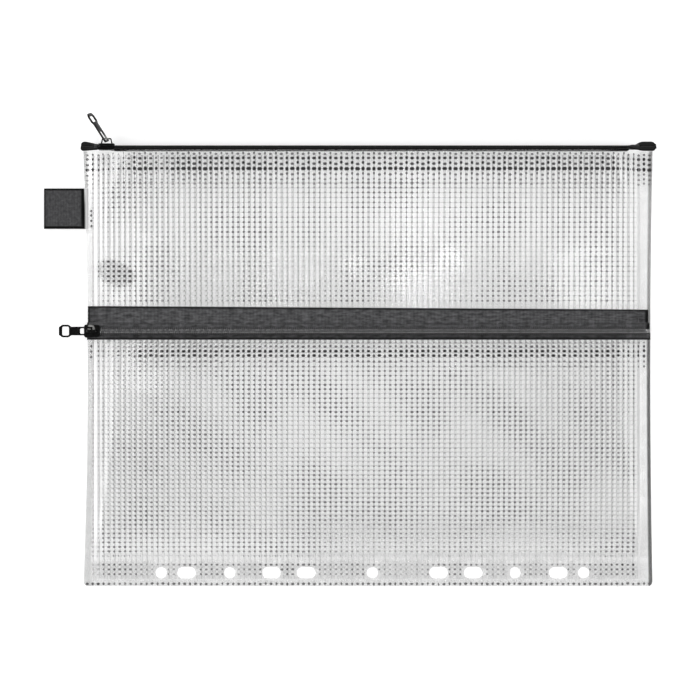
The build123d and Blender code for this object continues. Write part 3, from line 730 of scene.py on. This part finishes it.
def along_hem(x, left, seed):
    """How strongly a hem's knots show: it comes and goes in four sine waves, 18 to 60 mm long, and is weak
    from the left end to the place left."""
    count, shortest, longest = 4, 18, 60
    r = np.random.default_rng(seed)
    phases, lengths = r.uniform(0, PHASES, count), r.uniform(shortest, longest, count)
    waves = [np.sin(FULL_TURN * x / length + phase) for length, phase in zip(lengths, phases)]
    weak = 0.35 + 0.65 * step(x, left - 3, left + 3) + 0.3 * (1 - step(x, -151, -148))
    return np.clip(0.9 + 0.25 * sum(waves) / count, 0.5, 1) * weak


def hem_knots(name, height, rows, first, left, gap):
    """Dark knots of the net along a hem, where the turned-in layer doubles it: a row of lenses at each
    height, with its size, its tone, the share of it on wide yarns and how far the knots there hang below
    those on thin ones; upright on thin yarns and level on wide ones. They start at the column first, fade
    at the place gap and stay inside the film's right end."""
    last, clearance, first_seed = 160.5, 0.1, 60
    thin_wide, wide_wide, thin_tall, wide_tall = 1.75, 2.45, 2.2, 1.9
    column = np.arange(first, math.ceil((last - NET_LEFT) / NET_PITCH))
    x, thin = NET_LEFT + column * NET_PITCH, column % 2 == 0
    parts = []
    for i, (y, size, tone, share, lag) in enumerate(rows):
        shown = along_hem(x, left, first_seed + i) * (1 - 0.6 * bell(x, 0, gap, 0, 5, 1))
        shown = shown * rng.uniform(0.92, 1.08, len(x))
        grow = size * (0.5 + 0.5 * np.minimum(shown, 1))
        wide, tall = np.where(thin, thin_wide, wide_wide) * grow, np.where(thin, thin_tall, wide_tall) * grow
        gy = y - np.where(thin, 0, lag) + rng.normal(0, 0.08, len(x))
        shade = tone * np.where(thin, 1, share) * (0.55 + 0.55 * shown)
        inside = x + wide / 2 < outlined(np.full(len(x), HALF), gy)[0] - clearance
        parts.append(lenses(height, *(v[inside] for v in (x, gy, wide, tall, shade))))
    return yarn_piece(name, parts)


def margin_knots(name, height, x, heights):
    """Single knots in the left weld, where a column of the net comes through it, at these heights."""
    wide, tall, tone = 1.5, 1.7, 0.6
    y = np.array(heights)
    return yarn_piece(name, [lenses(height, np.broadcast_to(x, len(y)), y, wide, tall, tone)])


# Zippers

def on_top(along, across, up):
    """From a chain's own frame to the top zipper, which faces +Y."""
    return np.stack(np.broadcast_arrays(along, TOP_CHAIN_Y + up, TOP_CHAIN_Z - across), -1)


def on_pocket(along, across, up):
    """From a chain's own frame to the pocket zipper, which faces +Z."""
    return np.stack(np.broadcast_arrays(along, POCKET_CHAIN_Y + across, POCKET_CHAIN_Z + up), -1)


def coil(name, node, side, start, end, place, material):
    """One coil: a flattened helix, 1.2 mm a turn, its monofilament a five-sided tube carried along it. Each
    loop runs from over the tape to just past the chain's middle."""
    pitch, radius, middle, half_long, end_gap, squareness = 1.2, 0.26, 0.85, 1.3, 0.4, 0.8
    turn_points, sides = 14, 5
    turns = int((end - start) / pitch - end_gap)
    a = np.linspace(0, turns * 2 * math.pi, turns * turn_points + 1)
    c, s = np.cos(a), np.sin(a)
    x = start + end_gap + (0 if side > 0 else pitch / 2) + pitch * a / (2 * math.pi)
    across = side * (middle - (half_long - radius) * np.sign(c) * np.abs(c) ** squareness)
    up = TAPE + COIL_HALF_HEIGHT + (COIL_HALF_HEIGHT - radius) * np.sign(s) * np.abs(s) ** squareness
    line = np.stack([x, across, up], -1)
    along = np.gradient(line, axis=0)
    along /= np.linalg.norm(along, axis=1, keepdims=True)
    first = np.cross(along, [1.0, 0, 0])
    first /= np.linalg.norm(first, axis=1, keepdims=True)
    second = np.cross(along, first)
    b = (np.arange(sides) * 2 * math.pi / sides)[:, None]
    wall = line[:, None] + radius * (first[:, None] * np.cos(b) + second[:, None] * np.sin(b))
    piece(name, place(*np.moveaxis(wall, -1, 0)), tube(len(a), sides), material, "coil", node=node)


def cord(name, node, side, start, end, place):
    """The filler cord of a coil: three plies as a three-lobed section that turns once in 4 mm."""
    spacing, twist, radius, lobe, middle, sides = 0.7, 4, 0.27, 0.05, 1.7, 12
    x = np.linspace(start, end, int((end - start) / spacing))[:, None]
    b = np.arange(sides) * 2 * math.pi / sides
    r = radius + lobe * np.cos(3 * (b + x * 2 * math.pi / twist))
    points = place(x, side * middle + r * np.cos(b), TAPE + COIL_HALF_HEIGHT + r * np.sin(b))
    piece(name, points, tube(len(x), sides), cord_material, "cord", node=node)


def tape_piece(name, node, points, uv, crease, flip, material):
    """A tape from a grid of points on its upper face, thickened downwards."""
    quads = grid(*points.shape[:2])
    made = piece(name, points, quads[:, ::-1] if flip else quads, material, "zip_tape", node=node,
                 uv=np.stack(uv, -1), crease=crease)
    return thicken(made, TAPE)


def top_tape(name, node, side):
    """A tape of the top zipper: level beside the coil, a step down to its lap on the film's turned edge,
    and at both ends the lap tapers away, the gap for the coil shuts and the strip turns about the chain by
    38 degrees to face the front, with its corners rounded off."""
    shut_gap, narrow, widest, over_film, rise = 0.02, 4.45, 7.0, 0.2, 1.2
    lap_steps, lap_drops = np.array([0.35, 0.7, 1.1, 1.9, 2.6]), np.array([0.3, 0.75, 0.97, 0.97, 0.97])
    x = np.concatenate([np.linspace(-162.4, -150, 26), np.linspace(-149, 146, 148),
                        np.linspace(147, 163, 36)])
    lap = np.full(len(x), widest)
    if side < 0:
        lap = np.minimum(lap, over_film + arc_rise(BLISTER - np.abs(x), *FRONT_ARC) - TOP_CHAIN_Z)
    lap = np.where((x < -148.8) | (x > 148), narrow, np.clip(lap, narrow, widest))
    lap = np.convolve(np.pad(lap, 2, mode="edge"), np.full(5, 0.2), mode="valid")
    x, k = x[:, None], ((lap - TAPE_BEND) / (widest - TAPE_BEND))[:, None]
    near = 0.65 * step(-x, 151.6, 153.2) + 0.35 * step(-x, 153.2, 161.0)
    turned = np.where(x < 0, near, step(x, 147.0, 156.0))
    shut = np.where(x < 0, step(-x, 151.6, 153.0), step(x, 147.8, 152.0))
    nose = np.sqrt(1 - 0.8 * np.clip((np.abs(x) - 160.6) / 2.0, 0, 1) ** 2)
    inner = TAPE_GAP - (TAPE_GAP - shut_gap) * shut
    level = inner + (TAPE_BEND - inner) * np.linspace(0, 1, 6)
    v = side * nose * np.concatenate([level, TAPE_BEND + k * lap_steps], 1)
    n = TAPE - np.concatenate([np.zeros(level.shape), k * lap_drops], 1)
    turn = np.radians(38) * turned
    across, up = v * np.cos(turn) - n * np.sin(turn), v * np.sin(turn) + n * np.cos(turn)
    uv = (np.broadcast_to(x, v.shape), np.abs(v))
    tape_piece(name, node, on_top(x, across, up + rise * turned), uv, 0 * v, side > 0, shaded_tape_material)


def upper_tape():
    """Upper tape of the pocket zipper: level beside the coil, then a step down onto the front film, which
    the wide band above it follows to both side seams; its upper edge slants down by 2 mm to the right."""
    left_slant, slant, on_film, down_end, foot, over_film = 0.5, 2.0, 5.0, 5.2, 5.3, 0.52
    x = np.concatenate([np.linspace(-159.0, -140, 40), np.linspace(-139, 139, 130),
                        np.linspace(140, 159.2, 40)])
    v = np.array([TAPE_GAP, 1.8, 2.7, 3.6, 4.35, 4.7, on_film, foot, 6.2, 7.4, 9.0, 10.6, 12.2, 13.2, 13.7,
                  14.2, 14.7])
    gx, gv = np.meshgrid(x, v, indexing="ij")
    drop = left_slant + slant * (gx - x[0]) / (x[-1] - x[0])
    y = POCKET_CHAIN_Y + gv - drop * np.clip((gv - foot) / (v[-1] - foot), 0, 1)
    down = step(gv, TAPE_BEND, down_end)
    low = front_height(gx, np.maximum(y, POCKET_CHAIN_Y + on_film)) + over_film
    points = np.stack([gx, y, (POCKET_CHAIN_Z + TAPE) * (1 - down) + low * down], -1)
    # crease: painted shade along the top of the tape at its upper edge, and darker sealed ends at both sides
    sealed = np.maximum(1 - step(gx, -158.4, -157.4), step(gx, 157.0, 157.7))
    crease = np.maximum(0.75 * step(gv, 13.0, 13.9), 0.9 * sealed)
    return tape_piece("pocket_upper_tape_weave", "pocket_upper_tape", points, (gx, gv), crease, True,
                      tape_material)


def lower_tape():
    """Lower tape of the pocket zipper: level beside the coil, then turned forward into a wall on the
    pocket's edge."""
    left, right, flat_end, under_edge, over_film, lowest, wall_run = -159.0, 159.8, 4.2, 0.2, 0.6, 0.62, 4
    x = np.linspace(left, right, 190)[:, None]
    side_rise = over_film + arc_rise(POCKET_HALF - np.abs(x), *POCKET_ARC)
    top = np.maximum(np.minimum(POCKET_TOP - under_edge, side_rise) - POCKET_CHAIN_Z, lowest)
    v = np.concatenate([np.linspace(TAPE_GAP, flat_end, 10), np.full(7, TAPE_BEND)])
    rise = np.concatenate([np.zeros(10), np.linspace(0.12, 1, 7)])
    points = on_pocket(x, -v, TAPE + rise * (top - TAPE))
    gx, run = np.broadcast_arrays(x, v + rise * wall_run)
    # crease: painted shade, a faint dark line along the level part and a dark band where the tape turns up
    # into the wall
    crease = np.maximum(0.05 * bell(run, 0, 2.6, 0, 0.5, 1), 0.75 * step(run, 3.5, 4.1))
    tape_piece("pocket_lower_tape_weave", "pocket_lower_tape", points, (gx, run), crease, False,
               tape_material)


def end_stop(name, start, end):
    """A moulded stop at one end of the top chain: a rounded rectangle carried along X, drawn in at both
    ends and round three shallow grooves."""
    rings, sides, half_wide, half_tall, middle = 25, 20, 2.3, 1.5, 0.85
    t, b = np.linspace(0, 1, rings)[:, None], np.arange(sides) * 2 * math.pi / sides
    c, s = np.cos(b), np.sin(b)
    k = (0.6 + 0.4 * np.sqrt(1 - (2 * t - 1) ** 8)) * (1 - 0.06 * np.sin(3 * math.pi * t) ** 2)
    across = half_wide * k * np.sign(c) * np.sqrt(np.abs(c))
    up = middle + half_tall * k * np.sign(s) * np.sqrt(np.abs(s))
    piece(name, on_top(start + t * (end - start), across, up), tube(rings, sides), plain_coil_material, "coil")


def stitch_row(name, across, height):
    """A row of stitches along the pocket zipper: short threads that rise out of the tape and dip back, end
    to end."""
    left, right, pitch, length = -150.0, 157.0, 2.6, 2.0
    bulge, sunk, half_wide, half_tall = 0.16, 0.06, 0.17, 0.1
    t = np.linspace(0, 1, 7)
    x = np.arange(left, right, pitch)[:, None] + length * t
    paths = on_pocket(x, across, height + bulge * np.sin(math.pi * t) ** 0.5 - sunk)
    points, quads, _ = threads(paths, half_wide, half_tall, (0, 1, 0), 1.0)
    return piece(name, points, quads, thread_material, "zip_tape")


# Hard pieces and the tab

def enamelled(name, node, body, material):
    """A slider or pull: the part's own mesh with its triangles merged to faces, its edges rounded by a
    bevel of 0.18 mm, and the slivers that the bevel leaves merged away."""
    bevel, same, sliver, flat_angle, edge_angle = 0.18 * MM, 2e-6, 4e-6, math.radians(1.0), math.radians(28)
    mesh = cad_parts[node].data.copy()
    mesh.name = name
    work = bmesh.new()
    work.from_mesh(mesh)
    bmesh.ops.remove_doubles(work, verts=work.verts, dist=same)
    bmesh.ops.dissolve_limit(work, angle_limit=flat_angle, verts=work.verts, edges=work.edges)
    bmesh.ops.recalc_face_normals(work, faces=work.faces)
    work.to_mesh(mesh)
    work.clear()
    mesh.materials.clear()
    mesh.materials.append(material)
    made = bpy.data.objects.new(name, mesh)
    bpy.context.collection.objects.link(made)
    edge = made.modifiers.new("rounded_edges", "BEVEL")
    edge.width, edge.segments, edge.limit_method = bevel, 2, "ANGLE"
    edge.angle_limit, edge.use_clamp_overlap = edge_angle, True
    made.data = bpy.data.meshes.new_from_object(made.evaluated_get(bpy.context.evaluated_depsgraph_get()))
    made.modifiers.clear()
    work.from_mesh(made.data)
    bmesh.ops.triangulate(work, faces=work.faces)
    bmesh.ops.dissolve_degenerate(work, dist=sliver, edges=work.edges)
    bmesh.ops.triangulate(work, faces=work.faces)
    work.to_mesh(made.data)
    work.free()
    made.data.polygons.foreach_set("use_smooth", np.full(len(made.data.polygons), True))
    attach(made, body)
    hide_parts(node)


def ribbon_tab():
    """The ribbon folded into a flat loop: a hairpin profile of two layers and a round fold, square to the
    seam, with darker selvedges along both edges, a dark band beside its root, painted shade along the round
    fold, and a root fused into the weld."""
    fold_reach, half_apart, thickness, root_lean, root_y = 0.6, 0.58, 0.42, 0.02, 101.0
    c = np.array([0, 0.03, 0.06, 0.075, 0.2, 0.4, 0.6, 0.8, 0.94, 0.955, 0.98, 1.0])
    layer = np.concatenate([[0, 0.045, 0.085, 0.095], np.linspace(0.14, 1, 20)])[:-1]
    fold, rest = np.pi * np.linspace(-0.5, 0.5, 11), np.ones(len(layer))
    run = np.concatenate([layer, np.ones(len(fold)), layer[::-1]])
    lift = np.concatenate([-rest, np.sin(fold), rest])
    out = np.concatenate([0 * rest, np.cos(fold), 0 * rest])
    px, pz = TAB_ROOT + run * (TAB_FOLD - TAB_ROOT) - fold_reach * out, TAB_MIDDLE + half_apart * lift
    x, y, z = np.broadcast_arrays(px[:, None], TAB_LOW + c * TAB_WIDE, pz[:, None])
    root = x + root_lean * (y - root_y)
    selvedge = 1 - step(np.minimum(c * 22.0, (1 - c) * 30.0), 1.25, 1.5)
    # painted shade: the round fold at the loop's far end is darkened
    fold_shade = 0.8 * (1 - step(x - TAB_FOLD, -0.2, 0.5))
    dark = np.maximum(np.maximum(selvedge, step(root, -163.1, -162.6)), fold_shade)
    length = np.concatenate([[0], np.cumsum(np.hypot(np.diff(px), np.diff(pz)))])
    uv = np.stack(np.broadcast_arrays(length[:, None], y), -1)
    made = piece("ribbon_loop", np.stack([x, y, z], -1), grid(*x.shape)[:, ::-1], ribbon_material, "ribbon",
                 body="tab", node="ribbon_tab", uv=uv, selvedge=dark, fused=step(root, -161.2, -160.9))
    return thicken(made, thickness)


# Build

scene = bpy.context.scene
scene.view_settings.view_transform = "Standard"
scene.cycles.transparent_max_bounces = 32
set_camera()
world = bpy.data.worlds.new("studio")
scene.world = world
world.use_nodes = True
world.node_tree.nodes["Background"].inputs["Color"].default_value = colour("#FFFFFF")
world.node_tree.nodes["Background"].inputs["Strength"].default_value = 0.38
softbox("left_box", 180, 58, 1.8, 1.3, 1.3, 2.6)
softbox("right_box", 0, 60, 1.8, 1.2, 1.2, 1.7)
softbox("far_box", 90, 55, 1.9, 1.6, 1.0, 1.7)
softbox("near_box", 270, 34, 1.9, 1.4, 0.5, 2.0)
mirror_light("left_upper_strip", -159, -127, 68, 121, 5.5)
mirror_light("left_middle_strip", -150, -125, 36, 47, 4.5)
mirror_light("left_lower_strip", -155, -130, -40, 12, 4.0)
mirror_light("middle_strip", 22, 36, 40, 100, 16.0)
mirror_light("left_spot", -64, -44, 38, 54, 10.0)
mirror_light("right_spot", 118, 138, 38, 58, 9.0)

film_material, yarn_material = clear_film(), net_yarn()
tape_material = woven_tape("black_woven_polyester_tape",
                           [(0.38, "#313132"), (0.62, "#4D4D4E"), (0.88, "#6E6E70")])
# The top zipper's tapes take a darker copy of the same woven tape: painted shade.
shaded_tape_material = woven_tape("black_woven_tape_painted_shade", [(0.2, "#050505"), (0.65, "#0C0C0C"), (1.0, "#161616")])
# The pocket coil's nylon is a lighter grey copy of the black nylon: a painted highlight on its face-up
# loops.
plain_coil_material = nylon_coil("black_nylon_monofilament", [(0.35, "#08080A"), (0.75, "#161618")])
lit_coil_material = nylon_coil("nylon_monofilament_painted_lighter", [(0.35, "#4A4A4B"), (0.75, "#808082")])
cord_material = twisted_cord()
# Both enamels carry a painted highlight of bright grey: near the top zipper's slider, and on the pocket
# slider's crown.
enamel_material = black_enamel("black_enamel_on_zinc", (-147.8, 131.6, 7.2))
pocket_enamel_material = black_enamel("black_enamel_painted_pocket_highlight", (-156.6, 22.9, 9.3))
thread_material, ribbon_material = sewing_thread(), grosgrain()

back_film = film_panel("back_film", "back_panel", back_height, TOP, False, False)
front_film = film_panel("front_film", "front_panel", front_height, TOP, True, True)
pocket_film = film_panel("pocket_film", "pocket_panel", pocket_height, POCKET_EDGE, False, True)
back_hem = hem("back_hem", back_height, 12, TOP, 148.8, 1.7, -1)
front_hem = hem("front_hem", front_height, 12, TOP, 136.0, 2.0, 1)
pocket_hem = hem("pocket_hem", pocket_height, 9, POCKET_EDGE, 140.0, 2.2, 1)
strip_bead = weld_bead("strip_weld", pocket_height, -109.0, 150.0, 1.5, 0.25)
foot_bead = weld_bead("foot_weld", pocket_height, -120.4, 156.0, 0.9, 0.2)

lower_rows = np.arange(-106.2, -0.4, 2.56)
upper_rows = np.arange(38.6, 108.0, 2.78)
hidden_rows = np.arange(1.0, 37.0, 2.7)
all_rows = np.concatenate([lower_rows, hidden_rows, upper_rows])
pocket_rows = np.concatenate([STRIP_ROWS, lower_rows])
front_net = net("front_net", front_height, 121.5, 0.2, 0.0, all_rows, (60, 90), (0.8, 1.4, 0.5),
                (0.14, 0.08, 0.0))
back_net = net("back_net", back_height, 121.5, -0.2, 0.2, all_rows + 0.15, (8, 8), (0.8, 1.3, 0.5),
               (0.13, 0.07, 0.0))
pocket_net = net("pocket_net", pocket_height, 14.5, 0.2, 0.1, lower_rows, (44, 90), (0.8, 1.3, 0.6),
                 (0.1, 0.04, 0.02))
front_pads = crossings("front_net_crossings", front_height, upper_rows, (1.2, 1.6), (0.72, 0.5), 21)
pocket_pads = crossings("pocket_net_crossings", pocket_height, pocket_rows, (1.25, 1.65), (0.75, 0.58), 33)
top_rows = [(121.6, 0.78, 0.62, 0.85, 0.4), (119.0, 0.98, 1.1, 0.8, 0.2), (116.4, 0.98, 1.1, 0.72, 0.7),
            (113.1, 1.25, 1.3, 1.0, 0.1), (110.4, 0.85, 0.6, 0.9, 0.6), (107.6, 0.75, 0.5, 1.0, 0.6),
            (105.0, 0.7, 0.42, 1.0, 0.4)]
top_knots = hem_knots("top_hem_knots", front_height, top_rows, -1, -134, -117)
hem_rows = [(15.0, 0.65, 0.4, 1.0, 0.2), (12.8, 0.82, 0.68, 1.0, 0.2), (10.1, 0.98, 0.92, 1.2, 0.1),
            (7.3, 1.0, 0.82, 1.15, -0.3), (4.1, 0.8, 0.6, 0.9, -0.2), (1.5, 0.72, 0.5, 1.0, 0.1)]
pocket_knots = hem_knots("pocket_hem_knots", pocket_height, hem_rows, 1, -131, -200)
foot_knots = hem_knots("foot_knots", pocket_height, [(-122.1, 0.85, 0.62, 1.0, 0.0)], -1, -190, -200)
front_marks = margin_knots("front_margin_knots", front_height, [-157.2, -157.2, -157.1, -157.0],
                           [89.7, 87.2, 84.1, 81.0])
pocket_marks = margin_knots("pocket_margin_knots", pocket_height, -157.2, [12.8, 9.9, 6.7])

for zipper, place, start, end, rows, nylon in (
        ("top", on_top, -148.2, 148.0, ("rear", "front"), plain_coil_material),
        ("pocket", on_pocket, -156.4, 157.5, ("upper", "lower"), lit_coil_material)):
    for side, row in zip((1, -1), rows):
        coil(f"{zipper}_{row}_wound_coil", f"{zipper}_{row}_coil", side, start, end, place, nylon)
        cord(f"{zipper}_{row}_filler", f"{zipper}_{row}_cord", side, start, end, place)
end_stop("top_left_stop", -154.9, -152.55)
end_stop("top_right_stop", 147.9, 153.4)
top_tape("top_rear_tape_weave", "top_rear_tape", 1)
top_tape("top_front_tape_weave", "top_front_tape", -1)
pocket_upper = upper_tape()
lower_tape()

seam = stitch_row("tape_seam_stitches", 4.08, 0.5)
stitch_row("coil_spine_stitches", 1.15, 1.9)
stitch_row("lower_spine_stitches", -1.45, 1.9)

ribbon = ribbon_tab()
enamelled("top_slider_body", "top_slider", "top_runner", enamel_material)
enamelled("top_pull_tab", "top_pull", "top_grip", enamel_material)
enamelled("pocket_slider_body", "pocket_slider", "pocket_runner", pocket_enamel_material)
enamelled("pocket_pull_tab", "pocket_pull", "pocket_grip", enamel_material)

reach, drop = 6, -0.0003
floor = bpy.data.objects.new("floor", bpy.data.meshes.new("floor"))
corners = [(-reach, -reach, drop), (reach, -reach, drop), (reach, reach, drop), (-reach, reach, drop)]
floor.data.from_pydata(corners, [], [(0, 1, 2, 3)])
floor.data.materials.append(pale_floor())
bpy.context.collection.objects.link(floor)

bpy.context.view_layer.update()
